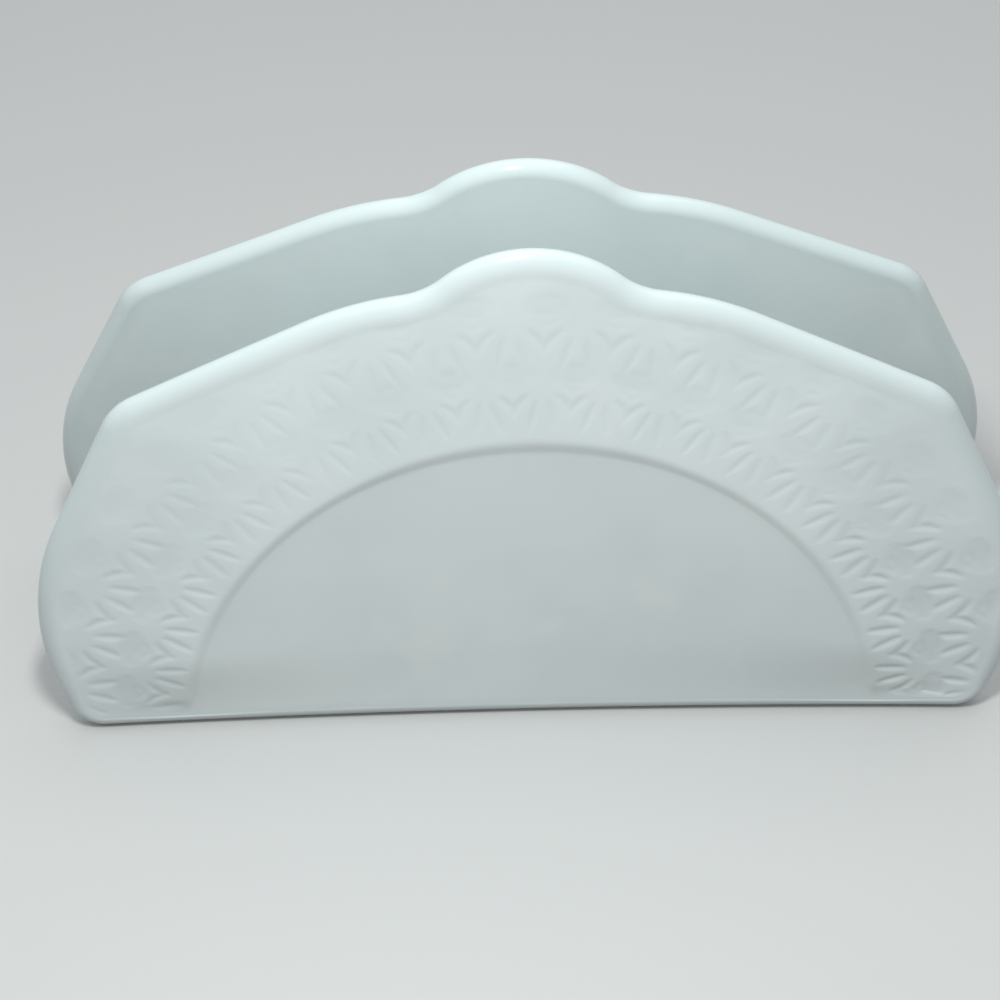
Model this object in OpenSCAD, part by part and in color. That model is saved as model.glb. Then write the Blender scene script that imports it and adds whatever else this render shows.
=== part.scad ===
// Ceramic napkin holder: two half-plate panels on a floor slab, luted together with slip.
// Millimetres. X runs along the panels, -Y is the front, Z is up and z = 0 is the table.

/* [Panels] */
// Width that the panel's outline is drawn to
panel_w = 190; // [170:1:210]
// Height of the crown above the table, measured along the leaning panel
panel_h = 104.6; // [95:0.2:115]
// Thickness of a panel at its rim
panel_t = 5; // [4:0.1:6]
// Distance between the middles of the two panels at their feet
spread = 49.3; // [40:0.1:65]
// How far each panel leans inward at the top, in degrees
lean = 5.9; // [0:0.1:8]
// How far a panel's ends curve outward from its middle
bow_depth = 2.1; // [0:0.1:4]
// Width of the flat ground on each panel's rounded foot
foot_flat = 1.7; // [1:0.1:2.5]

/* [Outline] */
// Radius of the two bottom corners
foot_r = 7; // [5.5:0.5:10]
// Radius of the bulging sides
side_r = 52; // [30:1:56]
// Radius of the two shoulder corners
shoulder_r = 11.6; // [7:0.2:16]
// Radius of the slow bend in each sloping top edge
slope_r = 62; // [30:1:80]
// Radius of the notch at each side of the crown
notch_r = 14; // [8:0.5:16]
// Radius of the crown
crown_r = 25.6; // [16:0.2:28]

/* [Well and band] */
// Radius of the half-round well
well_r = 67.4; // [55:0.2:70]
// How far the centre of the well's arc lies below the table
well_drop = 2.1; // [0:0.1:8]
// Height of the well's lower edge above the table
well_foot = 3.6; // [3.2:0.1:6]
// How far the band stands out in front of the well at the arc
well_depth = 0.4; // [0.3:0.1:1.5]
// Width of the sloping wall between the band and the well
well_wall = 1.2; // [0.6:0.1:2]
// Height above the well's lower edge over which the step at the arc fades in
fade_h = 4; // [2:0.5:8]
// How far the outer face swells at the arc: the well dishes in from there and the band slopes back
swell = 1.8; // [0.5:0.1:2.5]
// Height above the foot's rounding over which the swell comes in
swell_h = 16; // [8:1:30]

/* [Floor and joints] */
// Length of the floor slab
floor_len = 150; // [110:1:155]
// Thickness of the floor slab
floor_t = 6; // [5:0.1:8]
// Thickness of the slip between the floor's edge and a panel, at the floor's top
slip_t = 0.8; // [0.4:0.1:1.5]
// Height above the table where the slip begins
slip_foot = 1.2; // [0.8:0.1:1.8]
// Size of the bead worked into each inside corner
bead_size = 4; // [2.5:0.1:6]
// Clearance between a curved panel and what is joined to it
seat_gap = 0.05; // [0.02:0.01:0.1]

/* [Hidden] */

glaze = [0.90, 0.92, 0.91];
bisque = [0.86, 0.84, 0.80];
slip = [0.93, 0.92, 0.89];

// Corners of the right half of the outline, from the foot up to the notch, as shares of half the
// width and of the height. Each is rounded by the radius in the same place of corner_r.
corner_shares = [[0.94, 0], [1.041, 0.281], [0.81, 0.711], [0.345, 0.903], [0.206, 0.92]];
apex_share = 1.072;
corner_r = [foot_r, side_r, shoulder_r, slope_r, notch_r];

// Height of the point that all rings of a panel surround, as a share of its height
heart_share = 0.42;
// Places of the rings on the plain inner face and in the well, as shares of the way to their edge
inner_ring_shares = [0.3, 0.65, 0.85];
well_ring_shares = [0.8, 0.55, 0.3];
band_ring_shares = [0.25, 0.5, 0.75, 1];
// Counts of steps: in an outline arc, round the rim and round a bead's hollow face
arc_steps = 8;
rim_steps = 8;
bead_steps = 6;
// Longest step along a straight stretch of the outline, as a share of the panel's width
leg_share = 0.05;
// Number of stretches along the floor
floor_steps = 16;

rim_r = panel_t / 2;
// Depth ground away from the rounded foot, which leaves a flat of foot_flat
ground = rim_r - sqrt(rim_r * rim_r - foot_flat * foot_flat / 4);
half_corners = [for (s = corner_shares) [s[0] * panel_w / 2, s[1] * panel_h]];
heart = [0, heart_share * panel_h];
last = len(half_corners) - 1;
corners = concat(
    half_corners,
    [[0, apex_share * panel_h]],
    [for (i = [last:-1:0]) [-half_corners[i][0], half_corners[i][1]]]);
radii = concat(corner_r, [crown_r], [for (i = [last:-1:0]) corner_r[i]]);
corner_count = len(corners);
heel = floor_len / 2;

function unit(v) = v / norm(v);
function next(i) = (i + 1) % corner_count;
function prior(i) = (i + corner_count - 1) % corner_count;
// 1 at a corner that points outward, -1 at a notch
function turn(i) = sign(cross(corners[i] - corners[prior(i)], corners[next(i)] - corners[i]));
function to_prior(i) = unit(corners[prior(i)] - corners[i]);
function to_next(i) = unit(corners[next(i)] - corners[i]);
function half_angle(i) = acos(to_prior(i) * to_next(i)) / 2;
function arc_centre(i) =
    corners[i] + unit(to_prior(i) + to_next(i)) * radii[i] / sin(half_angle(i));
// Direction of the outline's outward normal on the leg before corner i, in degrees
function leg_normal(i) = atan2(to_prior(i)[0], -to_prior(i)[1]);
function arc_sweep(i) = turn(i) * (180 - 2 * half_angle(i));
function arc_point(i, k, inset) = let (
    a = leg_normal(i) + arc_sweep(i) * k / arc_steps,
    r = turn(i) * radii[i] - inset)
    arc_centre(i) + r * [cos(a), sin(a)];
function leg_parts(i) = ceil(
    norm(arc_point(next(i), 0, 0) - arc_point(i, arc_steps, 0)) / (leg_share * panel_w));
function leg_points(i, inset) = let (
    p = arc_point(i, arc_steps, inset),
    q = arc_point(next(i), 0, inset),
    n = leg_parts(i))
    [for (k = [1:1:n - 1]) p + (q - p) * k / n];
// The panel's outline drawn in by inset, anticlockwise, always with the same number of points
function outline(inset) = [for (i = [0:corner_count - 1])
    each concat([for (k = [0:arc_steps]) arc_point(i, k, inset)], leg_points(i, inset))];

// Distance from the heart to the well's edge in the direction dir
function well_reach(dir) = let (
    c = heart + [0, well_drop],
    b = c * dir,
    to_arc = -b + sqrt(b * b - c * c + well_r * well_r))
    dir[1] < 0 ? min(to_arc, (well_foot - heart[1]) / dir[1]) : to_arc;
function well_edge(p) = heart + unit(p - heart) * well_reach(unit(p - heart));
// A smooth rise from 0 to 1 as the point p climbs from the height low by the height h
function ease_in(p, low, h) = let (w = max(0, min(1, (p[1] - low) / h))) w * w * (3 - 2 * w);
// How far the outer face stands out at the point p: at the share s of the way from the rim to the
// arc, and in the well
function band_out(p, s) =
    rim_r + s * (swell * ease_in(p, rim_r, swell_h) + well_depth * ease_in(p, well_foot, fade_h));
function well_out(p) =
    rim_r + swell * ease_in(p, rim_r, swell_h) * pow(norm(p + [0, well_drop]) / well_r, 2);

function bow(x) = bow_depth * pow(2 * x / panel_w, 2);
// A point of the leaning, bowed front panel: q in its plane and n out from its middle surface
function on_panel(q, n) = let (v = q[1] - rim_r)
    [q[0],
     -(spread / 2 + bow(q[0]) - v * sin(lean) + n * cos(lean)),
     max(0, rim_r + v * cos(lean) + n * sin(lean) - ground)];
// Distance from the middle plane y = 0 to the panel's inner face at the height z, where x = 0
function inner_y(z) = let (v = (z + ground - rim_r + rim_r * sin(lean)) / cos(lean))
    spread / 2 - v * sin(lean) - rim_r * cos(lean);
// The same distance where the foot is rounded, for heights below the straight inner face
function foot_y(z) = let (h = rim_r - ground - z)
    spread / 2 - sqrt(max(0, rim_r * rim_r - h * h));

// A closed solid from rings of equal counts, with a point at each end
function ring_faces(rings, n) = concat(
    [for (i = [0:n - 1]) [0, 1 + i, 1 + (i + 1) % n]],
    [for (k = [0:rings - 2], i = [0:n - 1]) let (a = 1 + k * n, j = (i + 1) % n)
        each [[a + i, a + n + i, a + j], [a + j, a + n + i, a + n + j]]],
    [for (i = [0:n - 1]) let (a = 1 + (rings - 1) * n) [a + n, a + (i + 1) % n, a + i]]);

module panel() {
    edge = outline(0);
    face = outline(rim_r);
    well = [for (p = edge) well_edge(p)];
    inner = [for (s = inner_ring_shares) [for (p = face) on_panel(heart + s * (p - heart), -rim_r)]];
    rim = [for (k = [0:rim_steps]) let (a = -90 + 180 * k / rim_steps)
        [for (p = outline(rim_r * (1 - cos(a)))) on_panel(p, rim_r * sin(a))]];
    band = [for (s = band_ring_shares) [for (i = [0:len(edge) - 1])
        let (p = face[i] + s * (well[i] - face[i])) on_panel(p, band_out(p, s))]];
    floor_ring = [for (w = well) let (p = w - unit(w - heart) * well_wall) on_panel(p, well_out(p))];
    deep = [for (s = well_ring_shares) [for (w = well)
        let (p = heart + s * (w - heart)) on_panel(p, well_out(p))]];
    rings = concat(inner, rim, band, [floor_ring], deep);
    middle = on_panel(heart, well_out(heart));
    polyhedron(
        points = concat([on_panel(heart, -rim_r)], [for (r = rings) each r], [middle]),
        faces = ring_faces(len(rings), len(edge)));
}

// A bar along the foot of the front panel: section lists [y, z] from y = 0, and follows the bow
module bowed_bar(section) {
    n = len(section);
    stations = [for (k = [0:floor_steps]) heel * (2 * k / floor_steps - 1)];
    last_row = floor_steps * n;
    polyhedron(
        points = [for (x = stations) for (p = section) [x, -(p[0] + bow(x)), p[1]]],
        faces = concat(
            [[for (i = [0:n - 1]) i]],
            [for (k = [0:floor_steps - 1], i = [0:n - 1]) let (a = k * n, j = (i + 1) % n)
                each [[a + j, a + i, a + n + i], [a + j, a + n + i, a + n + j]]],
            [[for (i = [n - 1:-1:0]) last_row + i]]));
}

floor_y = inner_y(floor_t) - slip_t;
joint_face = inner_y(floor_t) - seat_gap;

module front_half(name) {
    if (name == "joint") bowed_bar(concat(
        [[floor_y, slip_foot], [floor_y, floor_t], [joint_face, floor_t]],
        [[inner_y(rim_r) - seat_gap, rim_r]],
        [[foot_y(slip_foot) - seat_gap, slip_foot]]));
    if (name == "bead") bowed_bar(concat(
        [[joint_face, floor_t], [joint_face - bead_size, floor_t]],
        [for (k = [1:bead_steps]) let (a = 90 * k / bead_steps, rise = bead_size * (1 - cos(a)))
            [inner_y(floor_t + rise) - seat_gap - bead_size * (1 - sin(a)), floor_t + rise]]));
}

// Front half-plate panel with its rounded rim, band and well
module front_panel() {
    color(glaze) panel();
}

// Back panel: the front one turned to face the other way
module back_panel() {
    color(glaze) mirror([0, 1, 0]) panel();
}

// Floor slab that the napkins stand on
module floor_slab() {
    front_edge = [for (k = [0:floor_steps]) let (x = heel * (2 * k / floor_steps - 1))
        [x, -(floor_y + bow(x))]];
    back_edge = [for (k = [floor_steps:-1:0]) [front_edge[k][0], -front_edge[k][1]]];
    color(bisque) linear_extrude(floor_t) polygon(concat(front_edge, back_edge));
}

// Slip that joins the floor's front edge to the front panel
module front_slip_joint() {
    color(slip) front_half("joint");
}

module back_slip_joint() {
    color(slip) mirror([0, 1, 0]) front_half("joint");
}

// Clay bead worked into the inside corner between the floor and the front panel
module front_corner_bead() {
    color(glaze) front_half("bead");
}

module back_corner_bead() {
    color(glaze) mirror([0, 1, 0]) front_half("bead");
}

front_panel();
back_panel();
floor_slab();  // floor
front_slip_joint();
back_slip_joint();
front_corner_bead();
back_corner_bead();
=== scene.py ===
"""Glazed ceramic napkin holder: two star-pressed half-plate panels luted to a floor slab."""
import math

import bpy
import numpy as np
from mathutils import Euler, Matrix, Vector


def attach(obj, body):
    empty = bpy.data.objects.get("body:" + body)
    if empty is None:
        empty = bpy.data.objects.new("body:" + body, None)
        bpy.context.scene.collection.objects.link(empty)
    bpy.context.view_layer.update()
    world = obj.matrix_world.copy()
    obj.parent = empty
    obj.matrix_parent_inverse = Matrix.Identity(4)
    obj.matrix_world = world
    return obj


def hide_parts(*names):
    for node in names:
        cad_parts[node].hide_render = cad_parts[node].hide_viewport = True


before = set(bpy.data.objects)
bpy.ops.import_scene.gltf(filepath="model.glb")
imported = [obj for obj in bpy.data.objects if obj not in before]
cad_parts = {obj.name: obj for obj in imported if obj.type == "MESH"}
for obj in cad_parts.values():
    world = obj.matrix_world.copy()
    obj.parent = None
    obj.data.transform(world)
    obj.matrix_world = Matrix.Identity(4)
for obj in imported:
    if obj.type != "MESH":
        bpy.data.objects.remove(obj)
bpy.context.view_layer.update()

bl_info = {
    "name": "Ceramic Napkin Holder",
    "version": (1, 0, 0),
    "blender": (4, 5, 0),
    "location": "View3D > Sidebar > Napkin Holder",
    "description": "Builds a glazed napkin holder round its frame",
    "category": "Add Mesh",
}

MM = 0.001

# Corners of the right half of the panel's outline, from the foot up to the notch,
# as shares of half the width and of the height
CORNER_SHARES = ((0.94, 0.0), (1.041, 0.281), (0.81, 0.711), (0.345, 0.903), (0.206, 0.92))
# Heights of the crown's corner before it is rounded and of the heart that the rings close on
APEX_SHARE = 1.072
HEART_SHARE = 0.42

# Longest steps round the outline and along the straight foot, and the fewest round a corner
COLUMN_STEP = 0.5 * MM
FOOT_STEP = 1.5 * MM
LEAST_STEPS = 6
# Rings across the band and round the rim
BAND_RINGS = 62
RIM_RINGS = 14
# How much further the rim rolls over on the outer face, and the height where it does so in full
RIM_EASE = 0.6
RIM_RISE = 15 * MM
# Rings of the inner face and of the well, as shares of the way out from the heart
INNER_SHARES = (0.35, 0.65, 0.82, 0.92, 0.97)
WELL_SHARES = (0.97, 0.93, 0.88, 0.82, 0.75, 0.67, 0.58, 0.48, 0.37, 0.26, 0.15, 0.06)
# Rings across the step at the arc and the ends of its slope, in millimetres inward from the arc
STEP_RINGS = (-2.1, -1.7, -1.4, -1.1, -0.8, -0.5, -0.2, 0.1, 0.4, 0.7, 1.0, 1.4)
STEP_ENDS = (-1.7, 1.4)
# Width of band over which the step's rings spread to their full distance, and the least fall
# of a spoke when the room over the foot is measured along it
STEP_EASE = 4 * MM
LEAST_FALL = 0.05
# Share of the way out from the heart where the well's rings stop over the middle of the foot,
# and the width over which they draw back to it
FOOT_SHARE = 0.6
FOOT_EASE = 34 * MM

# Rows of stars: the step and each row's turn in degrees, and the rows' radii
STAR_STEP = 8.12
INNER_TURN, OUTER_TURN = 88.55, 92.6
INNER_RADIUS, OUTER_RADIUS = 79.7 * MM, 93.5 * MM
STAR_DEPTH = 0.28 * MM
RAY_WIDTH = 2.5 * MM
STAR_MARGIN = 3.2 * MM
GLAZE_WAVE = 0.07 * MM
# Width beside the plain margin over which the stars deepen
STAR_FADE = 2.5 * MM
# Pattern of the soft waves that the glaze lies in
WAVE_NOISE = {"Scale": 65.0, "Detail": 1.0, "Roughness": 0.4}
# Keeps a division safe at the tips of a groove
LEAST_HALF = 1e-6

# Rays of one star: turn from the inward line in degrees, then middle, length, width and bend in
# millimetres, and depth as a share of the deepest ray. The widths suit a ray of DRAWN_RAY.
DRAWN_RAY = 2.0
INNER_RAYS = (
    (11.5, 8.4, 6.8, 1.9, 0.0, 1.0),
    (32, 7.4, 5.8, 1.9, 0.55, 0.95),
    (56, 5.6, 3.4, 1.4, 0.3, 0.4),
)
OUTER_RAYS = (
    (11.5, 9.8, 7.6, 2.0, 0.0, 1.0),
    (32, 8.4, 6.6, 2.0, 0.75, 1.0),
    (57, 6.3, 3.8, 1.5, 0.3, 0.4),
    (150, 4.6, 3.4, 1.5, 0.0, 0.25),
)
# Hollows between neighbouring stars, and the wide bowl that they share: millimetres inward,
# length, width and depth share
HOLLOWS = ((-1.65, 4.6, 2.0, 0.35), (1.5, 4.6, 2.0, 0.35))
BOWL = (0.0, 9.0, 6.5, 0.8)

# Noise scale, detail and roughness of each pattern in the glaze, the clay and the slip
CLOUDS = (26.0, 3.0, 0.5)
THIN_PLACES = (70.0, 2.0, 0.5)
SATIN = (160.0, 3.0, 0.5)
GLAZE_PEEL = (330.0, 2.0, 0.5)
RAGGED_EDGE = (420.0, 2.0, 0.5)
CLAY_GRAIN = (1500.0, 4.0, 0.7)
SLIP_GRAIN = (1300.0, 5.0, 0.65)
SLIP_STREAKS = (500.0, 2.0, 0.5)

# Glaze: where each pattern's noise starts and ends, and how strong it gets
GLAZE_IOR = 1.5
COAT_WEIGHT = 0.25
COAT_ROUGHNESS = 0.05
CLOUD_ENDS, CLOUD_MIX = (0.35, 0.65), 0.35
THIN_ENDS, THIN_MIX = (0.55, 0.8), 0.5
SATIN_ENDS, SATIN_CHANGE = (0.3, 0.8), (-0.03, 0.08)
# How strongly the pressed stars take the darker colour: partly pooled glaze, partly painted shade in
# the grooves
POOL_AND_SHADE_MIX = 0.35
# Kiln specks: cells to a metre, share of the cells left clean, radii in cells, and strength
SPECK_CELLS = 95.0
CLEAN_SHARE = 0.994
SPECK_RADII, SPECK_MIX = (0.02, 0.05), 0.5
# Heights over the bare clay between which the glaze begins, and how far that edge wanders
GLAZE_START = (0.1 * MM, 0.25 * MM)
EDGE_WANDER = 0.3 * MM
# Bare clay: how dark its grain gets and how rough it is. The bump is of glaze and clay alike.
CLAY_SHADE = 0.86
CLAY_ROUGHNESS = 0.82
GLAZE_BUMP = {"Strength": 0.12, "Distance": 0.1 * MM}

# Slip: how its streaks are drawn out, and how strongly its grain shows in colour and relief
STREAK_STRETCH = (0.2, 1.0, 1.0)
SLIP_SHADE = 0.8
GRAIN_MIX = 0.4
GRAIN_ENDS, SLIP_ROUGHNESS = (0.2, 0.8), (0.45, 0.75)
SLIP_BUMP = {"Strength": 0.4, "Distance": 0.15 * MM}

# How much of the end rounding the undersides of the slab and of the slip take
SLAB_LIFT, SLIP_LIFT = 0.4, 0.3
# Waves along a joint: radians to a metre, strength and start, and how high they are in each joint
JOINT_WAVES = ((210, 1.0, 0.0), (467, 0.6, 1.3))
SLIP_RIPPLE, BEAD_RIPPLE = 0.12 * MM, 0.09 * MM
# Steps round a bead's hollow face, and its end rounding as a share of its size
BEAD_STEPS = 14
BEAD_END = 0.75
# Steps along a joint's straight part and round its ends
BAR_STEPS, END_STEPS = 60, 6

# Studio: half the floor's width, how far it lies below the holder, and how strong the sky is
STAGE_REACH = 6.0
STAGE_DROP = 0.2 * MM
STAGE_ROUGHNESS = 0.6
SKY_STRENGTH = 0.60
# Lamps: name, place, size in X and Y, watts and colour, all aimed at one point
LAMPS = (
    ("key_lamp", (-0.034, -0.14, 0.35), 0.03, 0.08, 0.68, (0.94, 1, 1)),
    ("over_lamp", (0.1, 0.35, 1.2), 1.2, 1.2, 2.5, (1, 1, 1)),
)
LAMP_AIM = (0, 0, 0.05)
SENSOR_WIDTH = 36
CLIP_START, CLIP_END = 0.01, 50


# Sizes and colours

def metres(name, description, default, low=0.0, high=1.0):
    """A size in metres."""
    return bpy.props.FloatProperty(
        name=name, description=description, default=default, min=low, max=high,
        subtype="DISTANCE", unit="LENGTH", precision=5)


def angle(name, description, degrees):
    """An angle, written in degrees."""
    return bpy.props.FloatProperty(
        name=name, description=description, default=math.radians(degrees),
        subtype="ANGLE", unit="ROTATION")


def share(name, description, default):
    """A plain number from 0 to 1."""
    return bpy.props.FloatProperty(
        name=name, description=description, default=default, min=0.0, max=1.0, subtype="FACTOR")


def tint(name, description, default):
    """A linear colour."""
    return bpy.props.FloatVectorProperty(
        name=name, description=description, default=default, size=3, min=0.0, max=1.0,
        subtype="COLOR")


class PanelSizes(bpy.types.PropertyGroup):
    """Sizes that both panels share."""
    width: metres("Width", "Width that the outline is drawn to", 190 * MM)
    height: metres("Height", "Height of the crown along the leaning panel", 104.6 * MM)
    thickness: metres("Thickness", "Thickness of a panel at its rim", 5 * MM)
    spread: metres("Spread", "Distance between the middles of the panels at their feet", 49.3 * MM)
    lean: angle("Lean", "How far each panel leans inward", 5.9)
    bow: metres("Bow", "How far a panel's ends curve outward", 2.1 * MM)
    foot_flat: metres("Foot flat", "Width of the flat ground on each foot", 1.7 * MM)
    foot_r: metres("Foot radius", "Radius of the two bottom corners", 7 * MM)
    side_r: metres("Side radius", "Radius of the bulging sides", 52 * MM)
    shoulder_r: metres("Shoulder radius", "Radius of the shoulder corners", 11.6 * MM)
    slope_r: metres("Slope radius", "Radius of the bend in each sloping edge", 62 * MM)
    notch_r: metres("Notch radius", "Radius of the notch beside the crown", 14 * MM)
    crown_r: metres("Crown radius", "Radius of the crown", 25.6 * MM)
    well_r: metres("Well radius", "Radius of the half-round well", 67.4 * MM)
    well_drop: metres("Well drop", "How far the arc's centre lies below the table", 2.1 * MM)
    well_foot: metres("Well foot", "Height of the well's lower edge", 3.6 * MM)
    well_depth: metres("Well depth", "How far the band stands out in front of the well", 0.4 * MM)
    fade_height: metres("Fade height", "Height over which the arc's step fades in", 4 * MM)
    swell: metres("Swell", "How far the outer face swells at the arc", 1.8 * MM)
    swell_height: metres("Swell height", "Height over which the swell comes in", 16 * MM)


class StarSizes(bpy.types.PropertyGroup):
    """Sizes of the stars pressed into the band."""
    rise: metres("Rise", "Height of the rows' centre above the table", 1.0 * MM)
    step: angle("Step", "Angle from one star of a row to the next", STAR_STEP)
    low_radius: metres("Inner row radius", "Distance of the inner stars from the rows' centre",
                       INNER_RADIUS)
    low_turn: angle("Inner row turn", "Angle of a star in the inner row", INNER_TURN)
    high_radius: metres("Outer row radius", "Distance of the outer stars from the rows' centre",
                        OUTER_RADIUS)
    high_turn: angle("Outer row turn", "Angle of a star in the outer row", OUTER_TURN)
    depth: metres("Depth", "Depth of the deepest ray", STAR_DEPTH)
    ray_width: metres("Ray width", "Width of a ray at its middle", RAY_WIDTH)
    crown_share: share("Crown share", "Share of the depth that the glaze leaves near the crown", 0.32)
    fill_low: metres("Fill start", "Height where the glaze starts to fill the stars", 15 * MM)
    fill_high: metres("Fill end", "Height where it has filled them most", 65 * MM)
    left_share: share("Left share", "Share of the depth that the glaze leaves at the left end", 0.6)
    left_reach: metres("Left reach", "Distance from the middle where it has done so", 60 * MM)
    margin: metres("Margin", "Plain width left inside the rim", STAR_MARGIN)
    wave: metres("Glaze wave", "Height of the soft waves in the glaze", GLAZE_WAVE)


class FloorSizes(bpy.types.PropertyGroup):
    """Sizes of the floor slab and its joints."""
    length: metres("Length", "Length of the floor slab", 150 * MM)
    thickness: metres("Thickness", "Thickness of the floor slab", 6 * MM)
    slip: metres("Slip", "Thickness of the slip at the floor's top", 0.8 * MM)
    slip_foot: metres("Slip foot", "Height above the table where the slip begins", 1.2 * MM)
    bead: metres("Bead", "Size of the bead in each inside corner", 4 * MM)
    seat_gap: metres("Seat gap", "Clearance beside a curved panel", 0.05 * MM)
    end_round: metres("End round", "Radius worn onto the slab's ends", 1.6 * MM)


class Finishes(bpy.types.PropertyGroup):
    """Colours of the glaze, the clay and the studio."""
    glaze: tint("Glaze", "White glaze over the panels", (0.785, 0.845, 0.84))
    # Pooled glaze: a darker tone that clouds the glaze at random, and painted shade in the star grooves
    glaze_pool_and_shade: tint("Pooled glaze", "Glaze where it lies thick", (0.64, 0.71, 0.72))
    glaze_thin: tint("Thin glaze", "Glaze where it lies thin in places", (0.82, 0.865, 0.85))
    # Rim glaze: painted shade, which dims the light on the rims
    glaze_rim_shade: tint("Rim glaze", "Glaze where it has run off a rim", (0.645, 0.72, 0.717))
    clay: tint("Clay", "Bare fired clay under the holder", (0.66, 0.60, 0.51))
    slip: tint("Slip", "Fired slip in the joints", (0.70, 0.68, 0.62))
    speck: tint("Speck", "Small kiln specks", (0.16, 0.14, 0.12))
    roughness: share("Roughness", "Roughness of the glaze", 0.13)
    table: tint("Stage", "Pale floor of the studio", (0.60, 0.60, 0.59))
    bounce: tint("Bounce", "What the studio floor throws back onto the holder", (0.14, 0.12, 0.11))
    room: tint("Room", "Light that comes from all round", (0.94, 0.98, 1.0))


class CameraSizes(bpy.types.PropertyGroup):
    """Where the camera stands."""
    lens: bpy.props.FloatProperty(
        name="Lens", description="Focal length in millimetres on a 36 mm sensor", default=90.28,
        min=10, max=300)
    tilt: angle("Tilt", "Angle from looking straight down", 48.573)
    turn: angle("Turn", "Turn about the vertical", -1.686)
    roll: angle("Roll", "Roll about the line of sight", -0.1)
    place: bpy.props.FloatVectorProperty(
        name="Place", description="Where the camera stands", default=(-0.01625, -0.3742, 0.36327),
        size=3, subtype="TRANSLATION", unit="LENGTH")


# Nodes

def put(tree, kind, feeds=None, **settings):
    """Adds a node, applies its settings and fills its inputs with values or links."""
    node = tree.nodes.new(kind)
    for name, value in settings.items():
        setattr(node, name, value)
    for key, value in (feeds or {}).items():
        if isinstance(value, bpy.types.NodeSocket):
            tree.links.new(value, node.inputs[key])
        else:
            node.inputs[key].default_value = value
    return node


def calc(tree, operation, *terms):
    """One step of arithmetic."""
    return put(tree, "ShaderNodeMath", dict(enumerate(terms)), operation=operation).outputs[0]


def ease(tree, value, low=0.0, high=1.0, out_low=0.0, out_high=1.0):
    """A smooth step from out_low to out_high as value goes from low to high."""
    return put(tree, "ShaderNodeMapRange",
               {"Value": value, "From Min": low, "From Max": high,
                "To Min": out_low, "To Max": out_high},
               interpolation_type="SMOOTHSTEP").outputs[0]


def new_group(name, inputs, outputs):
    """A node group with named inputs (kind, default, subtype) and outputs (kind)."""
    tree = bpy.data.node_groups.new(name, "GeometryNodeTree")
    for label, (kind, default, subtype) in inputs.items():
        socket = tree.interface.new_socket(label, in_out="INPUT", socket_type=kind)
        if subtype:
            socket.subtype = subtype
        if default is not None:
            socket.default_value = default
    for label, kind in outputs.items():
        tree.interface.new_socket(label, in_out="OUTPUT", socket_type=kind)
    return tree, tree.nodes.new("NodeGroupInput").outputs, tree.nodes.new("NodeGroupOutput").inputs


def number(default=0.0, subtype=None):
    """A number among a group's inputs."""
    return ("NodeSocketFloat", default, subtype)


def groove_group():
    """A lens-shaped groove: how deep it is at a point, from 0 to 1."""
    tree, given, result = new_group(
        "Ray groove",
        {"Along": number(), "Across": number(), "Middle": number(0.007, "DISTANCE"),
         "Length": number(0.006, "DISTANCE"), "Width": number(0.002, "DISTANCE"),
         "Bend": number(0.0, "DISTANCE")},
        {"Cut": "NodeSocketFloat"})
    from_middle = calc(tree, "SUBTRACT", given["Along"], given["Middle"])
    place = calc(tree, "DIVIDE", from_middle, calc(tree, "MULTIPLY", given["Length"], 0.5))
    taper = calc(tree, "MAXIMUM", calc(tree, "SUBTRACT", 1.0, calc(tree, "POWER", place, 2.0)), 0.0)
    root = calc(tree, "SQRT", taper)
    line = calc(tree, "SUBTRACT", given["Across"], calc(tree, "MULTIPLY", given["Bend"], taper))
    half = calc(tree, "MULTIPLY", calc(tree, "MULTIPLY", given["Width"], 0.5), root)
    half = calc(tree, "ADD", half, LEAST_HALF)
    edge = calc(tree, "DIVIDE", calc(tree, "ABSOLUTE", line), half)
    bowl = ease(tree, edge, 0.0, 1.0, 1.0, 0.0)
    tree.links.new(calc(tree, "MULTIPLY", bowl, root), result["Cut"])
    return tree


def star_group(name, rays, groove):
    """One star: how deep its rays and the hollow beside it are, beside and below its middle."""
    tree, given, result = new_group(
        name,
        {"Beside": number(), "Inward": number(), "Gap": number(5.6 * MM, "DISTANCE"),
         "Ray width": number(RAY_WIDTH, "DISTANCE")},
        {"Cut": "NodeSocketFloat"})

    def groove_cut(along, across, middle, long, wide, bend, depth):
        width = calc(tree, "MULTIPLY", given["Ray width"], wide / DRAWN_RAY)
        cut = put(tree, "GeometryNodeGroup",
                  {"Along": along, "Across": across, "Middle": middle, "Length": long * MM,
                   "Width": width, "Bend": bend * MM}, node_tree=groove).outputs[0]
        return calc(tree, "MULTIPLY", cut, depth)

    cuts = []
    for degrees, middle, long, wide, bend, depth in rays:
        cosine, sine = math.cos(math.radians(degrees)), math.sin(math.radians(degrees))
        along = calc(tree, "ADD", calc(tree, "MULTIPLY", given["Inward"], cosine),
                     calc(tree, "MULTIPLY", given["Beside"], sine))
        across = calc(tree, "SUBTRACT", calc(tree, "MULTIPLY", given["Beside"], cosine),
                      calc(tree, "MULTIPLY", given["Inward"], sine))
        cuts.append(groove_cut(along, across, middle * MM, long, wide, bend, depth))
    for inward, long, wide, depth in (*HOLLOWS, BOWL):
        across = calc(tree, "SUBTRACT", given["Inward"], inward * MM)
        cuts.append(groove_cut(given["Beside"], across, given["Gap"], long, wide, 0.0, depth))
    deepest = cuts[0]
    for cut in cuts[1:-1]:
        deepest = calc(tree, "MAXIMUM", deepest, cut)
    tree.links.new(calc(tree, "ADD", deepest, cuts[-1]), result["Cut"])
    return tree


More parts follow.
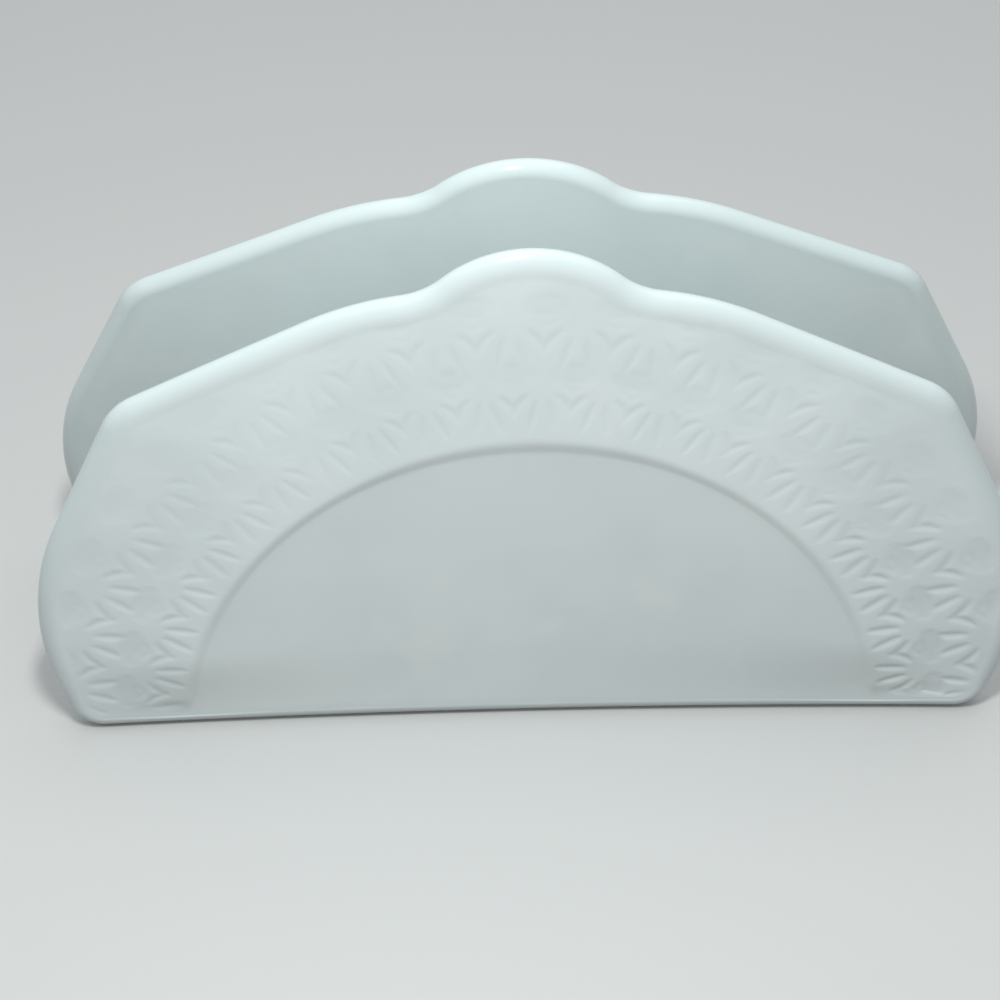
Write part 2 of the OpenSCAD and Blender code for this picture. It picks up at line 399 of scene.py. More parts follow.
def star_row_group(name, star):
    """A row of stars round the arc, worked out at a point's angle and distance from its centre."""
    tree, given, result = new_group(
        name,
        {"Angle": number(0.0, "ANGLE"), "Distance": number(INNER_RADIUS, "DISTANCE"),
         "Step": number(math.radians(STAR_STEP), "ANGLE"), "Turn": number(0.0, "ANGLE"),
         "Radius": number(INNER_RADIUS, "DISTANCE"), "Ray width": number(RAY_WIDTH, "DISTANCE")},
        {"Cut": "NodeSocketFloat"})
    turns = calc(tree, "DIVIDE", calc(tree, "SUBTRACT", given["Angle"], given["Turn"]), given["Step"])
    off = calc(tree, "SUBTRACT", turns, calc(tree, "ROUND", turns))
    off = calc(tree, "ABSOLUTE", calc(tree, "MULTIPLY", off, given["Step"]))
    gap = calc(tree, "MULTIPLY", calc(tree, "MULTIPLY", given["Radius"], given["Step"]), 0.5)
    cuts = []
    for away in (off, calc(tree, "SUBTRACT", given["Step"], off)):
        beside = calc(tree, "MULTIPLY", given["Distance"], calc(tree, "SINE", away))
        outward = calc(tree, "MULTIPLY", given["Distance"], calc(tree, "COSINE", away))
        inward = calc(tree, "SUBTRACT", given["Radius"], outward)
        cuts.append(put(tree, "GeometryNodeGroup",
                        {"Beside": beside, "Inward": inward, "Gap": gap,
                         "Ray width": given["Ray width"]}, node_tree=star).outputs[0])
    tree.links.new(calc(tree, "MAXIMUM", *cuts), result["Cut"])
    return tree


def star_press_group():
    """Presses two rows of stars into a panel's band and lets the glaze lie in soft waves."""
    groove = groove_group()
    low_row = star_row_group("Inner star row", star_group("Inner star", INNER_RAYS, groove))
    high_row = star_row_group("Outer star row", star_group("Outer star", OUTER_RAYS, groove))
    tree, given, result = new_group(
        "Star press",
        {"Geometry": ("NodeSocketGeometry", None, None),
         "Step": number(math.radians(STAR_STEP), "ANGLE"),
         "Inner radius": number(INNER_RADIUS, "DISTANCE"),
         "Inner turn": number(math.radians(INNER_TURN), "ANGLE"),
         "Outer radius": number(OUTER_RADIUS, "DISTANCE"),
         "Outer turn": number(math.radians(OUTER_TURN), "ANGLE"),
         "Depth": number(STAR_DEPTH, "DISTANCE"), "Ray width": number(RAY_WIDTH, "DISTANCE"),
         "Margin": number(STAR_MARGIN, "DISTANCE"), "Wave": number(GLAZE_WAVE, "DISTANCE"),
         "Inward": ("NodeSocketVector", (0.0, 1.0, 0.0), None),
         "Material": ("NodeSocketMaterial", None, None)},
        {"Geometry": "NodeSocketGeometry"})
    place = put(tree, "GeometryNodeInputNamedAttribute", {"Name": "band_place"},
                data_type="FLOAT_VECTOR").outputs[0]
    parts = put(tree, "ShaderNodeSeparateXYZ", {0: place}).outputs
    margin = put(tree, "GeometryNodeInputNamedAttribute", {"Name": "rim_margin"},
                 data_type="FLOAT").outputs[0]
    around = calc(tree, "ARCTAN2", parts[1], parts[0])
    squares = calc(tree, "ADD", calc(tree, "POWER", parts[0], 2.0), calc(tree, "POWER", parts[1], 2.0))
    distance = calc(tree, "SQRT", squares)
    rows = []
    for row, radius, turn in ((low_row, "Inner radius", "Inner turn"),
                              (high_row, "Outer radius", "Outer turn")):
        rows.append(put(tree, "GeometryNodeGroup",
                        {"Angle": around, "Distance": distance, "Step": given["Step"],
                         "Turn": given[turn], "Radius": given[radius],
                         "Ray width": given["Ray width"]}, node_tree=row).outputs[0])
    cut = calc(tree, "MAXIMUM", *rows)
    inside = ease(tree, margin, given["Margin"], calc(tree, "ADD", given["Margin"], STAR_FADE))
    left = put(tree, "GeometryNodeInputNamedAttribute", {"Name": "star_share"},
               data_type="FLOAT").outputs[0]
    cut = calc(tree, "MULTIPLY", calc(tree, "MULTIPLY", cut, inside), left)
    wave = put(tree, "ShaderNodeTexNoise", WAVE_NOISE, noise_dimensions="3D").outputs["Fac"]
    wave = calc(tree, "MULTIPLY", calc(tree, "MULTIPLY", wave, given["Wave"]), parts[2])
    drop = calc(tree, "ADD", calc(tree, "MULTIPLY", cut, given["Depth"]), wave)
    offset = put(tree, "ShaderNodeVectorMath", {0: given["Inward"], "Scale": drop},
                 operation="SCALE").outputs[0]
    moved = put(tree, "GeometryNodeSetPosition",
                {"Geometry": given["Geometry"], "Offset": offset}).outputs[0]
    # The stars' depth is kept for the glaze colour: partly pooled glaze, partly painted shade in the
    # grooves
    kept = put(tree, "GeometryNodeStoreNamedAttribute",
               {"Geometry": moved, "Name": "glaze_pool_and_shade", "Value": cut},
               data_type="FLOAT", domain="POINT").outputs[0]
    realized = put(tree, "GeometryNodeRealizeInstances", {"Geometry": kept}).outputs[0]
    done = put(tree, "GeometryNodeSetMaterial",
               {"Geometry": realized, "Material": given["Material"]}).outputs[0]
    tree.links.new(done, result["Geometry"])
    return tree


def apply_nodes(piece, tree, values):
    """Runs the tree on the piece with these named values and keeps the result as its mesh."""
    modifier = piece.modifiers.new(tree.name, "NODES")
    modifier.node_group = tree
    sockets = {item.name: item.identifier for item in tree.interface.items_tree
               if item.in_out == "INPUT"}
    for name, value in values.items():
        modifier[sockets[name]] = value
    bpy.context.view_layer.update()
    depsgraph = bpy.context.evaluated_depsgraph_get()
    mesh = bpy.data.meshes.new_from_object(piece.evaluated_get(depsgraph), depsgraph=depsgraph)
    piece.modifiers.remove(modifier)
    mesh.name = piece.name
    piece.data = mesh


# Materials

def object_noise(tree, place, scale, detail, roughness):
    """Noise on the piece's own coordinates, from 0 to 1."""
    return put(tree, "ShaderNodeTexNoise",
               {"Vector": place, "Scale": scale, "Detail": detail, "Roughness": roughness}
               ).outputs["Fac"]


def mix_colour(tree, factor, first, second):
    """First colour where the factor is 0, second where it is 1."""
    node = put(tree, "ShaderNodeMix", {0: factor}, data_type="RGBA")
    for index, value in ((6, first), (7, second)):
        if isinstance(value, bpy.types.NodeSocket):
            tree.links.new(value, node.inputs[index])
        else:
            node.inputs[index].default_value = (*value, 1.0)
    return node.outputs[2]


def new_material(name):
    """A new material with its tree, its shader and the piece's own coordinates."""
    material = bpy.data.materials.new(name)
    material.use_nodes = True
    tree = material.node_tree
    shader = tree.nodes["Principled BSDF"]
    place = put(tree, "ShaderNodeTexCoord").outputs["Object"]
    return material, tree, shader, place


def glaze_material(name, looks, bare_below):
    """White glaze, pooled or thin in places, with painted shade in the star grooves and on the rims,
    specks, and bare clay below the height given.
    """
    material, tree, shader, place = new_material(name)
    shader.inputs["IOR"].default_value = GLAZE_IOR
    shader.inputs["Coat Weight"].default_value = COAT_WEIGHT
    shader.inputs["Coat Roughness"].default_value = COAT_ROUGHNESS
    cloud = ease(tree, object_noise(tree, place, *CLOUDS), *CLOUD_ENDS, 0.0, CLOUD_MIX)
    # Darker in the star grooves: partly pooled glaze, partly painted shade
    pool = put(tree, "ShaderNodeAttribute", attribute_name="glaze_pool_and_shade").outputs["Fac"]
    pooled = calc(tree, "ADD", calc(tree, "MULTIPLY", pool, POOL_AND_SHADE_MIX), cloud)
    colour = mix_colour(tree, calc(tree, "MINIMUM", pooled, 1.0), looks.glaze, looks.glaze_pool_and_shade)
    thin = ease(tree, object_noise(tree, place, *THIN_PLACES), *THIN_ENDS, 0.0, THIN_MIX)
    colour = mix_colour(tree, thin, colour, looks.glaze_thin)
    # Darker on the rims: painted shade, which dims the light on them
    bare = put(tree, "ShaderNodeAttribute", attribute_name="rim_shade_share").outputs["Fac"]
    colour = mix_colour(tree, bare, colour, looks.glaze_rim_shade)
    dots = put(tree, "ShaderNodeTexVoronoi",
               {"Vector": place, "Scale": SPECK_CELLS, "Randomness": 1.0}, feature="F1")
    chosen = put(tree, "ShaderNodeSeparateColor", {0: dots.outputs["Color"]}).outputs[0]
    chosen = calc(tree, "GREATER_THAN", chosen, CLEAN_SHARE)
    speck = ease(tree, dots.outputs["Distance"], *SPECK_RADII, SPECK_MIX, 0.0)
    colour = mix_colour(tree, calc(tree, "MULTIPLY", speck, chosen), colour, looks.speck)
    height = put(tree, "ShaderNodeSeparateXYZ", {0: place}).outputs[2]
    wander = calc(tree, "MULTIPLY", object_noise(tree, place, *RAGGED_EDGE), EDGE_WANDER)
    glazed = ease(tree, calc(tree, "ADD", height, wander),
                  bare_below + GLAZE_START[0], bare_below + GLAZE_START[1])
    grain = object_noise(tree, place, *CLAY_GRAIN)
    clay = mix_colour(tree, grain, [c * CLAY_SHADE for c in looks.clay], looks.clay)
    colour = mix_colour(tree, glazed, clay, colour)
    tree.links.new(colour, shader.inputs["Base Color"])
    satin = ease(tree, object_noise(tree, place, *SATIN), *SATIN_ENDS,
                 looks.roughness + SATIN_CHANGE[0], looks.roughness + SATIN_CHANGE[1])
    rough = put(tree, "ShaderNodeMix", {0: glazed, 2: CLAY_ROUGHNESS, 3: satin}, data_type="FLOAT")
    tree.links.new(rough.outputs[0], shader.inputs["Roughness"])
    peel = object_noise(tree, place, *GLAZE_PEEL)
    relief = put(tree, "ShaderNodeMix", {0: glazed, 2: grain, 3: peel}, data_type="FLOAT").outputs[0]
    bump = put(tree, "ShaderNodeBump", {"Height": relief, **GLAZE_BUMP})
    tree.links.new(bump.outputs[0], shader.inputs["Normal"])
    return material


def slip_material(name, looks):
    """Fired slip: matt and grainy, with streaks along the joint."""
    material, tree, shader, place = new_material(name)
    grain = object_noise(tree, place, *SLIP_GRAIN)
    stretched = put(tree, "ShaderNodeMapping", {"Vector": place, "Scale": STREAK_STRETCH}).outputs[0]
    streak = object_noise(tree, stretched, *SLIP_STREAKS)
    faint = calc(tree, "MULTIPLY", grain, GRAIN_MIX)
    colour = mix_colour(tree, streak, [c * SLIP_SHADE for c in looks.slip], looks.slip)
    colour = mix_colour(tree, faint, colour, looks.clay)
    tree.links.new(colour, shader.inputs["Base Color"])
    tree.links.new(ease(tree, grain, *GRAIN_ENDS, *SLIP_ROUGHNESS), shader.inputs["Roughness"])
    bump = put(tree, "ShaderNodeBump", {"Height": calc(tree, "ADD", faint, streak), **SLIP_BUMP})
    tree.links.new(bump.outputs[0], shader.inputs["Normal"])
    return material


# The panel's outline and surface

def unit(vector):
    """Each vector drawn to a length of 1."""
    return vector / np.linalg.norm(vector, axis=-1, keepdims=True)


def drawn_outline(size, inset):
    """The outline drawn in by inset, anticlockwise, always with the same number of points."""
    half_width = size.width / 2
    half = [(across * half_width, up * size.height) for across, up in CORNER_SHARES]
    corners = np.array(half + [(0.0, APEX_SHARE * size.height)] + [(-x, y) for x, y in half[::-1]])
    side = [size.foot_r, size.side_r, size.shoulder_r, size.slope_r, size.notch_r]
    radii = side + [size.crown_r] + side[::-1]
    arcs, full_arcs = [], []
    for i, corner in enumerate(corners):
        before, after = corners[i - 1], corners[(i + 1) % len(corners)]
        to_before, to_after = unit(before - corner), unit(after - corner)
        half_angle = math.acos(float(to_before @ to_after)) / 2
        into, out = corner - before, after - corner
        turn = math.copysign(1.0, into[0] * out[1] - into[1] * out[0])
        centre = corner + unit(to_before + to_after) * radii[i] / math.sin(half_angle)
        sweep = turn * (math.pi - 2 * half_angle)
        steps = max(LEAST_STEPS, math.ceil(abs(sweep) * radii[i] / COLUMN_STEP))
        angles = math.atan2(to_before[0], -to_before[1]) + sweep * np.arange(steps + 1) / steps
        spoke = np.stack([np.cos(angles), np.sin(angles)], axis=1)
        arcs.append(centre + (turn * radii[i] - inset) * spoke)
        full_arcs.append(centre + turn * radii[i] * spoke)
    points = []
    for i, arc in enumerate(arcs):
        following = (i + 1) % len(arcs)
        gap = np.linalg.norm(full_arcs[following][0] - full_arcs[i][-1])
        low = full_arcs[following][0][1] < 1e-6 and full_arcs[i][-1][1] < 1e-6
        parts = math.ceil(gap / (FOOT_STEP if low else COLUMN_STEP))
        shares = np.arange(1, parts)[:, None] / parts
        points += [arc, arc[-1] + shares * (arcs[following][0] - arc[-1])]
    return np.concatenate(points)


def well_reach(size, heart, ways):
    """Distances from the heart to the well's edge in these directions."""
    centre = heart + np.array([0.0, size.well_drop])
    b = ways @ centre
    reach = -b + np.sqrt(b * b - centre @ centre + size.well_r ** 2)
    low = ways[:, 1] < 0
    chord = np.full(len(ways), np.inf)
    chord[low] = (size.well_foot - heart[1]) / ways[low, 1]
    return np.minimum(reach, chord), chord < reach


def smooth(value):
    """A smooth step from 0 to 1."""
    value = np.clip(value, 0.0, 1.0)
    return value * value * (3 - 2 * value)


def bow_at(size, x):
    """How far a panel is bowed outward at x."""
    return size.bow * (2 * x / size.width) ** 2


def foot_ground(size):
    """How much is ground off the rounded foot."""
    rim_r = size.thickness / 2
    return rim_r - math.sqrt(rim_r ** 2 - size.foot_flat ** 2 / 4)


def on_panel(size, flat, out):
    """Points of the front panel: flat in its plane, and out from its middle surface."""
    rim_r = size.thickness / 2
    up = flat[:, 1] - rim_r
    cosine, sine = math.cos(size.lean), math.sin(size.lean)
    y = -(size.spread / 2 + bow_at(size, flat[:, 0]) - up * sine + out * cosine)
    z = np.maximum(0.0, rim_r + up * cosine + out * sine - foot_ground(size))
    return np.stack([flat[:, 0], y, z], axis=1)


def swell_at(size, flat):
    """How far the outer face would swell at these points if they lay on the arc."""
    return size.swell * smooth((flat[:, 1] - size.thickness / 2) / size.swell_height)


def band_height(size, flat, part):
    """How far the band stands out at these points, part of the way from the rim to the arc."""
    step = size.well_depth * smooth((flat[:, 1] - size.well_foot) / size.fade_height)
    return part * (swell_at(size, flat) + step)


def well_height(size, flat):
    """How far the dished well stands out at these points."""
    squares = flat[:, 0] ** 2 + (flat[:, 1] + size.well_drop) ** 2
    return swell_at(size, flat) * squares / size.well_r ** 2


def panel_rings(size):
    """Rings of (points in the plane, distance out, share that the band's relief takes)."""
    rim_r = size.thickness / 2
    heart = np.array([0.0, HEART_SHARE * size.height])
    edge, face = drawn_outline(size, 0.0), drawn_outline(size, rim_r)
    outward = unit(edge - face)
    roll = rim_r * (1 + RIM_EASE * smooth(edge[:, 1] / RIM_RISE))
    brow = edge - roll[:, None] * outward
    ways = unit(edge - heart)
    reach, on_chord = well_reach(size, heart, ways)
    well = heart + reach[:, None] * ways
    end = np.abs(well[on_chord, 0]).max()
    shrink = 1 - (1 - FOOT_SHARE) * smooth((end - np.abs(well[:, 0])) / FOOT_EASE)
    shrink[~on_chord] = 1.0
    well = heart + (well - heart) * shrink[:, None]

    rings = [(heart + s * (face - heart), -rim_r, 0.0) for s in INNER_SHARES]
    for k in range(RIM_RINGS + 1):
        around = -math.pi / 2 + math.pi * k / RIM_RINGS
        inset = (roll if around > 0 else np.full(len(edge), rim_r)) * (1 - math.cos(around))
        rings.append((edge - inset[:, None] * outward, rim_r * math.sin(around), 0.0))
    room = (well[:, 1] - rim_r) / np.maximum(-ways[:, 1], LEAST_FALL)
    room = np.minimum(room, np.linalg.norm(brow - well, axis=1))
    spread = (1 - np.exp(-room / STEP_EASE))[:, None] * ways
    lip = well - STEP_RINGS[0] * MM * spread
    for k in range(1, BAND_RINGS + 1):
        s = k / BAND_RINGS
        flat = brow + s * (lip - brow)
        high = np.where(on_chord, well_height(size, flat), band_height(size, flat, s))
        rings.append((flat, rim_r + high, 1.0))
    for inward in STEP_RINGS[1:]:
        part = 1 - smooth((inward - STEP_ENDS[0]) / (STEP_ENDS[1] - STEP_ENDS[0]))
        flat = well - inward * MM * spread
        low = well_height(size, flat)
        high = np.where(on_chord, low, band_height(size, flat, 1.0))
        rings.append((flat, rim_r + low + part * (high - low), 1.0))
    floor_edge = well - STEP_RINGS[-1] * MM * spread
    for s in WELL_SHARES:
        flat = heart + s * (floor_edge - heart)
        rings.append((flat, rim_r + well_height(size, flat), 1.0))
    return rings, heart, edge, outward


def star_share(stars, flat):
    """Share of the stars' depth that the glaze leaves at these points."""
    filled = smooth((flat[:, 1] - stars.fill_low) / (stars.fill_high - stars.fill_low))
    leftward = smooth(-flat[:, 0] / stars.left_reach)
    return (1 - (1 - stars.crown_share) * filled) * (1 - (1 - stars.left_share) * leftward)


def front_panel_mesh(size, stars, name):
    """The front panel before its stars: closed, with what the star press needs on each point."""
    rings, heart, edge, outward = panel_rings(size)
    rim_r = size.thickness / 2
    count = len(edge)
    points = [on_panel(size, heart[None], np.array([-rim_r]))]
    places, shares = [np.zeros((1, 3))], [np.zeros(1)]
    margins = [np.array([size.height / 2])]
    for flat, out, relief in rings:
        out = np.broadcast_to(out, (count,))
        points.append(on_panel(size, flat, out))
        places.append(np.column_stack([flat[:, 0], flat[:, 1] - stars.rise, np.full(count, relief)]))
        shares.append(relief * star_share(stars, flat))
        margins.append(np.einsum("ij,ij->i", edge - flat, outward))
    points.append(on_panel(size, heart[None], rim_r + well_height(size, heart[None])))
    places.append(np.array([[heart[0], heart[1] - stars.rise, 1.0]]))
    shares.append(star_share(stars, heart[None]))
    margins.append(np.array([size.height / 2]))
    points = np.concatenate(points)

    here = np.arange(count)
    after = (here + 1) % count
    faces = [(0, 1 + i, 1 + j) for i, j in zip(here, after)]
    for k in range(len(rings) - 1):
        a, b = 1 + k * count, 1 + (k + 1) * count
        faces += list(zip(a + here, b + here, b + after, a + after))
    a, tip = 1 + (len(rings) - 1) * count, len(points) - 1
    faces += [(tip, a + j, a + i) for i, j in zip(here, after)]

    mesh = bpy.data.meshes.new(name)
    mesh.from_pydata(points.tolist(), [], [tuple(int(i) for i in f) for f in faces])
    mesh.attributes.new("band_place", "FLOAT_VECTOR", "POINT").data.foreach_set(
        "vector", np.concatenate(places).ravel())
    margins = np.concatenate(margins)
    # How near each point lies to the rim, which sets the painted shade on the rims
    for label, values in (("rim_margin", margins), ("star_share", np.concatenate(shares)),
                          ("rim_shade_share", 1 - smooth(margins / size.thickness))):
        mesh.attributes.new(label, "FLOAT", "POINT").data.foreach_set("value", values)
    finish_mesh(mesh)
    return mesh


def finish_mesh(mesh):
    """Turns the faces outward, as one check of the whole volume says, and shades them smooth."""
    mesh.calc_loop_triangles()
    corners = np.empty(len(mesh.loop_triangles) * 3, np.int32)
    mesh.loop_triangles.foreach_get("vertices", corners)
    places = np.empty(len(mesh.vertices) * 3)
    mesh.vertices.foreach_get("co", places)
    a, b, c = places.reshape(-1, 3)[corners.reshape(-1, 3)].transpose(1, 0, 2)
    if np.einsum("ij,ij->", a, np.cross(b, c)) < 0:
        mesh.flip_normals()
    mesh.polygons.foreach_set("use_smooth", [True] * len(mesh.polygons))
    mesh.validate()
    mesh.update()


def add_piece(name, mesh):
    """Puts a mesh into the scene, in its place already."""
    piece = bpy.data.objects.new(name, mesh)
    bpy.context.scene.collection.objects.link(piece)
    return piece


def mirrored(mesh, name):
    """A copy turned to face the other way across the middle plane."""
    copy = mesh.copy()
    copy.name = name
    copy.transform(Matrix.Scale(-1, 4, Vector((0, 1, 0))))
    copy.flip_normals()
    copy.update()
    return copy


# Floor and joints

def inner_y(size, z):
    """Distance from the middle plane to a panel's inner face at height z, halfway along."""
    rim_r = size.thickness / 2
    up = (z + foot_ground(size) - rim_r + rim_r * math.sin(size.lean)) / math.cos(size.lean)
    return size.spread / 2 - up * math.sin(size.lean) - rim_r * math.cos(size.lean)


def foot_y(size, z):
    """The same distance where the foot is rounded."""
    rim_r = size.thickness / 2
    drop = rim_r - foot_ground(size) - z
    return size.spread / 2 - math.sqrt(max(0.0, rim_r ** 2 - drop ** 2))


def lofted_mesh(name, sections):
    """A closed mesh through sections of equal counts, each a list of points."""
    points = np.concatenate([np.asarray(section) for section in sections])
    n, last = len(sections[0]), (len(sections) - 1) * len(sections[0])
    faces = [tuple(range(n))[::-1], tuple(range(last, last + n))]
    for k in range(len(sections) - 1):
        for i in range(n):
            a, b, j = k * n, (k + 1) * n, (i + 1) % n
            faces.append((a + i, a + j, b + j, b + i))
    mesh = bpy.data.meshes.new(name)
    mesh.from_pydata(points.tolist(), [], faces)
    finish_mesh(mesh)
    return mesh


def stations(half_length, end_round):
    """Places along a bar, closer at its rounded ends, with how far the ends draw in there."""
    inner = half_length - end_round
    ends = [math.radians(90 * k / END_STEPS) for k in range(1, END_STEPS + 1)]
    right = [(inner + end_round * math.sin(a), end_round * (1 - math.cos(a))) for a in ends]
    middle = [(inner * (2 * k / BAR_STEPS - 1), 0.0) for k in range(BAR_STEPS + 1)]
    return [(-x, d) for x, d in right[::-1]] + middle + right


def bar_mesh(size, name, section, half_length, end_round, wave):
    """A bar that follows the bow: section(draw, ripple) lists (y, z) from the middle plane."""
    sections = []
    for x, draw in stations(half_length, end_round):
        ripple = wave * sum(strength * math.sin(x * rate + start)
                            for rate, strength, start in JOINT_WAVES)
        sections.append([(x, -(y + bow_at(size, x)), z) for y, z in section(draw, ripple)])
    return lofted_mesh(name, sections)


# Operators

def holder_settings():
    """The sizes and colours set for this scene."""
    return bpy.context.scene.napkin_holder


class NapkinHolderSettings(bpy.types.PropertyGroup):
    """Everything that can be set."""
    panel: bpy.props.PointerProperty(type=PanelSizes, name="Panels")
    stars: bpy.props.PointerProperty(type=StarSizes, name="Stars")
    floor: bpy.props.PointerProperty(type=FloorSizes, name="Floor")
    looks: bpy.props.PointerProperty(type=Finishes, name="Finishes")
    camera: bpy.props.PointerProperty(type=CameraSizes, name="Camera")


class NAPKIN_OT_panels(bpy.types.Operator):
    """Build both half-plate panels with their pressed stars"""
    bl_idname = "napkin.panels"
    bl_label = "Build panels"

    def execute(self, context):
        chosen = holder_settings()
        size, stars = chosen.panel, chosen.stars
        front = front_panel_mesh(size, stars, "front_half_plate")
        press = star_press_group()
        for name, node, mesh, facing in (
                ("front_half_plate", "front_panel", front, 1.0),
                ("back_half_plate", "back_panel", mirrored(front, "back_half_plate"), -1.0)):
            piece = add_piece(name, mesh)
            glaze = glaze_material(name + "_glaze", chosen.looks, 0.0)
            apply_nodes(piece, press, {
                "Step": stars.step, "Inner radius": stars.low_radius, "Inner turn": stars.low_turn,
                "Outer radius": stars.high_radius, "Outer turn": stars.high_turn,
                "Depth": stars.depth, "Ray width": stars.ray_width, "Margin": stars.margin,
                "Wave": stars.wave, "Material": glaze,
                "Inward": (0.0, facing * math.cos(size.lean), -math.sin(size.lean))})
            if len(piece.data.vertices) != len(mesh.vertices):
                raise RuntimeError("the star press changed the panel's points")
            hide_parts(node)
            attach(piece, "root")
        return {"FINISHED"}


class NAPKIN_OT_floor(bpy.types.Operator):
    """Build the floor slab with its worn ends"""
    bl_idname = "napkin.floor"
    bl_label = "Build floor"

    def execute(self, context):
        chosen = holder_settings()
        size, floor = chosen.panel, chosen.floor
        side = inner_y(size, floor.thickness) - floor.slip

        def section(x, draw):
            y = side + bow_at(size, x)
            low, high = draw * SLAB_LIFT, floor.thickness - draw
            return [(x, -y, low), (x, y, low), (x, y, high), (x, -y, high)]

        places = stations(floor.length / 2, floor.end_round)
        mesh = lofted_mesh("floor_slab", [section(x, draw) for x, draw in places])
        piece = add_piece("floor_slab", mesh)
        mesh.materials.append(glaze_material("floor_glaze", chosen.looks, 0.35 * MM))
        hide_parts("floor")
        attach(piece, "root")
        return {"FINISHED"}


class NAPKIN_OT_joints(bpy.types.Operator):
    """Build the slip joints and the beads over them"""
    bl_idname = "napkin.joints"
    bl_label = "Build joints and beads"

    def execute(self, context):
        chosen = holder_settings()
        size, floor = chosen.panel, chosen.floor
        top, rim_r = floor.thickness, size.thickness / 2
        side = inner_y(size, top) - floor.slip
        face = inner_y(size, top) - floor.seat_gap

        def slip_section(draw, ripple):
            low = floor.slip_foot + draw * SLIP_LIFT + max(0.0, ripple)
            return [(side, low), (side, top), (face, top),
                    (inner_y(size, rim_r) - floor.seat_gap, rim_r),
                    (foot_y(size, low) - floor.seat_gap, low)]

        def bead_section(draw, ripple):
            reach = floor.bead - draw - abs(ripple)
            rows = []
            for k in range(BEAD_STEPS + 1):
                turn = math.pi / 2 * k / BEAD_STEPS
                z = top + reach * (1 - math.cos(turn))
                rows.append((inner_y(size, z) - floor.seat_gap - reach * (1 - math.sin(turn)), z))
            return [(face, top), *rows]

        slip = bar_mesh(size, "front_slip", slip_section, floor.length / 2, floor.end_round,
                        SLIP_RIPPLE)
        bead = bar_mesh(size, "front_bead", bead_section, floor.length / 2, floor.bead * BEAD_END,
                        BEAD_RIPPLE)
        slip.materials.append(slip_material("fired_slip", chosen.looks))
        bead.materials.append(glaze_material("bead_glaze", chosen.looks, 0.0))
        for name, mesh, node, slot in (
                ("front_slip", slip, "front_slip_joint", "slip"),
                ("back_slip", mirrored(slip, "back_slip"), "back_slip_joint", "slip"),
                ("front_bead", bead, "front_corner_bead", "glazed_bead"),
                ("back_bead", mirrored(bead, "back_bead"), "back_corner_bead", "glazed_bead")):
            piece = add_piece(name, mesh)
            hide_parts(node)
            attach(piece, "root")
        return {"FINISHED"}


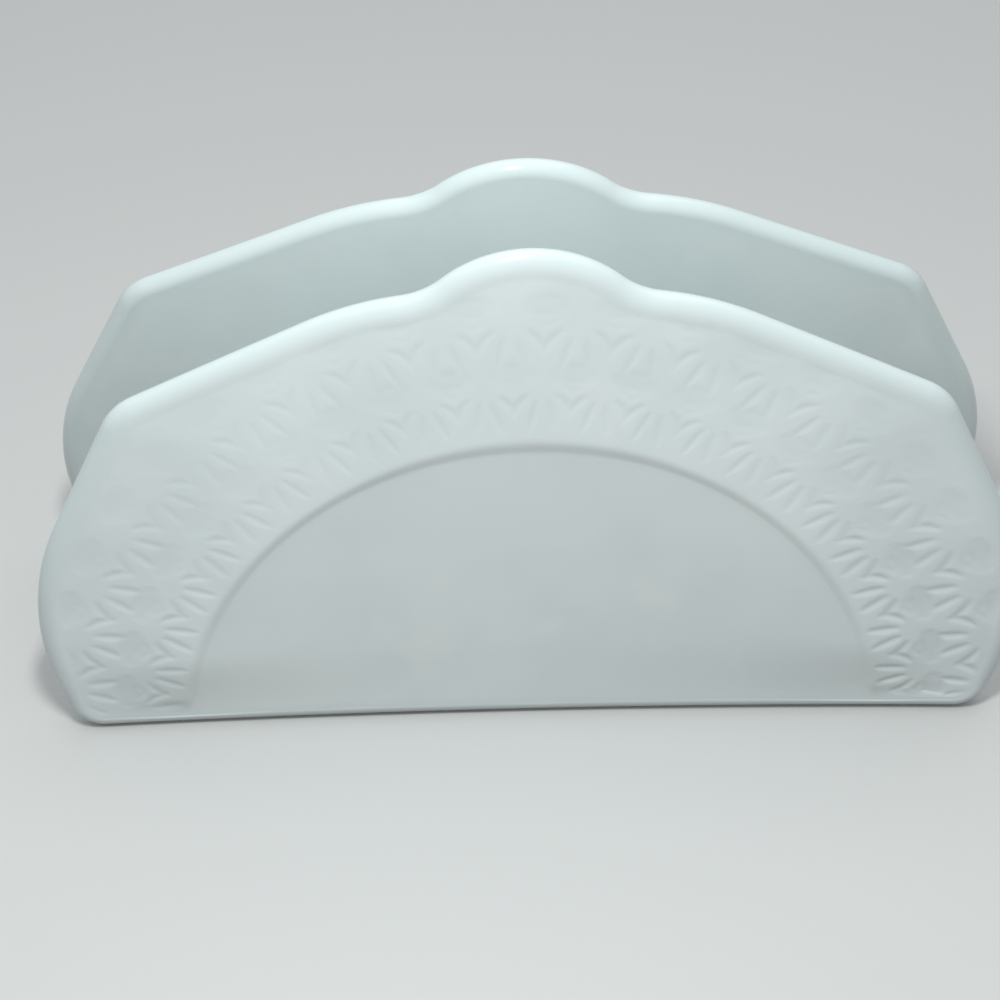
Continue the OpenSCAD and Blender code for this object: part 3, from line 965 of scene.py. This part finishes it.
class NAPKIN_OT_stage(bpy.types.Operator):
    """Set up the pale floor, the soft lights and the camera"""
    bl_idname = "napkin.stage"
    bl_label = "Set up stage"

    def execute(self, context):
        chosen = holder_settings()
        looks, view = chosen.looks, chosen.camera
        scene = bpy.context.scene

        mesh = bpy.data.meshes.new("studio_floor")
        corners = [(x * STAGE_REACH, y * STAGE_REACH, -STAGE_DROP)
                   for x, y in ((-1, -1), (1, -1), (1, 1), (-1, 1))]
        mesh.from_pydata(corners, [], [(0, 1, 2, 3)])
        ground = add_piece("studio_floor", mesh)
        material = bpy.data.materials.new("studio_floor_paint")
        material.use_nodes = True
        paint = material.node_tree
        shader = paint.nodes["Principled BSDF"]
        ray = put(paint, "ShaderNodeLightPath").outputs
        seen = calc(paint, "MAXIMUM", ray["Is Camera Ray"], ray["Is Glossy Ray"])
        seen = calc(paint, "MAXIMUM", seen, ray["Is Transmission Ray"])
        paint.links.new(mix_colour(paint, seen, looks.bounce, looks.table), shader.inputs["Base Color"])
        shader.inputs["Roughness"].default_value = STAGE_ROUGHNESS
        mesh.materials.append(material)

        world = bpy.data.worlds.new("studio_room")
        scene.world = world
        world.use_nodes = True
        sky = world.node_tree.nodes["Background"]
        sky.inputs["Color"].default_value = (*looks.room, 1)
        sky.inputs["Strength"].default_value = SKY_STRENGTH

        for name, place, wide, deep, watts, colour in LAMPS:
            lamp = bpy.data.lights.new(name, "AREA")
            lamp.shape = "RECTANGLE"
            lamp.size, lamp.size_y, lamp.energy, lamp.color = wide, deep, watts, colour
            light = bpy.data.objects.new(name, lamp)
            scene.collection.objects.link(light)
            light.location = place
            aim = Vector(LAMP_AIM) - Vector(place)
            light.rotation_euler = aim.to_track_quat("-Z", "Y").to_euler()

        camera = bpy.data.objects.new("photo_camera", bpy.data.cameras.new("photo_camera"))
        scene.collection.objects.link(camera)
        camera.data.lens = view.lens
        camera.data.sensor_width = SENSOR_WIDTH
        camera.data.clip_start, camera.data.clip_end = CLIP_START, CLIP_END
        camera.location = view.place
        turned = Euler((view.tilt, 0, view.turn)).to_matrix() @ Matrix.Rotation(view.roll, 3, "Z")
        camera.rotation_euler = turned.to_euler()
        scene.camera = camera
        scene.view_settings.view_transform = "Standard"
        return {"FINISHED"}


class NAPKIN_PT_build(bpy.types.Panel):
    """Lists the steps that build the holder"""
    bl_label = "Napkin Holder"
    bl_idname = "NAPKIN_PT_build"
    bl_space_type = "VIEW_3D"
    bl_region_type = "UI"
    bl_category = "Napkin Holder"

    def draw(self, context):
        for operator in BUILD_STEPS:
            self.layout.operator(operator.bl_idname)


BUILD_STEPS = (NAPKIN_OT_stage, NAPKIN_OT_panels, NAPKIN_OT_floor, NAPKIN_OT_joints)
CLASSES = (PanelSizes, StarSizes, FloorSizes, Finishes, CameraSizes, NapkinHolderSettings,
           *BUILD_STEPS, NAPKIN_PT_build)


def register():
    """Registers the classes and the scene's settings."""
    for cls in CLASSES:
        bpy.utils.register_class(cls)
    bpy.types.Scene.napkin_holder = bpy.props.PointerProperty(type=NapkinHolderSettings)


def unregister():
    """Takes the settings and the classes away again."""
    del bpy.types.Scene.napkin_holder
    for cls in reversed(CLASSES):
        bpy.utils.unregister_class(cls)


def main():
    """Builds the holder and its studio."""
    register()
    bpy.ops.napkin.stage()
    bpy.ops.napkin.panels()
    bpy.ops.napkin.floor()
    bpy.ops.napkin.joints()


if __name__ == "__main__":
    main()
